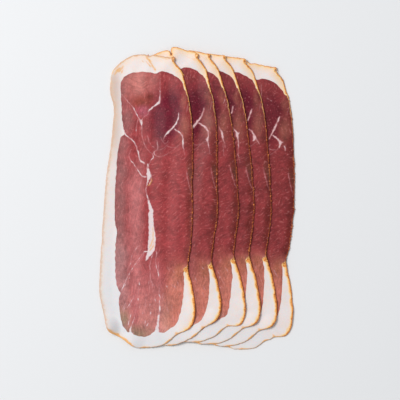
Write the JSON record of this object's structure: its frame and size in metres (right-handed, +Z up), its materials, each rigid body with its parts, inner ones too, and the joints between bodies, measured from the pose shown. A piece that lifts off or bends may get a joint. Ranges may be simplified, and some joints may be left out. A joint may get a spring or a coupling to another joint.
{
  "type": "sliced dry-cured ham",
  "caption": "Fan of long thin dry-cured ham slices lying partly on each other, dark red lean inside a white fat border with a golden rind edge.",
  "frame": {"origin": "under the middle of the fan's bounding box, on the surface that it lies on", "axes": "+Z up, +Y along the slices towards their square upper ends, +X from the topmost slice towards the lowest one"},
  "size_m": [0.1736, 0.268, 0.0112],
  "materials": {
    "lean": "moist satin",
    "fat": "soft waxy satin"
  },
  "bodies": {
    "root": {"lean_1": "lean", "fat_1": "fat", "lean_2": "lean", "fat_2": "fat", "lean_3": "lean", "fat_3": "fat", "lean_4": "lean", "fat_4": "fat", "lean_5": "lean", "fat_5": "fat", "lean_6": "lean", "fat_6": "fat"}
  },
  "joints": []
}
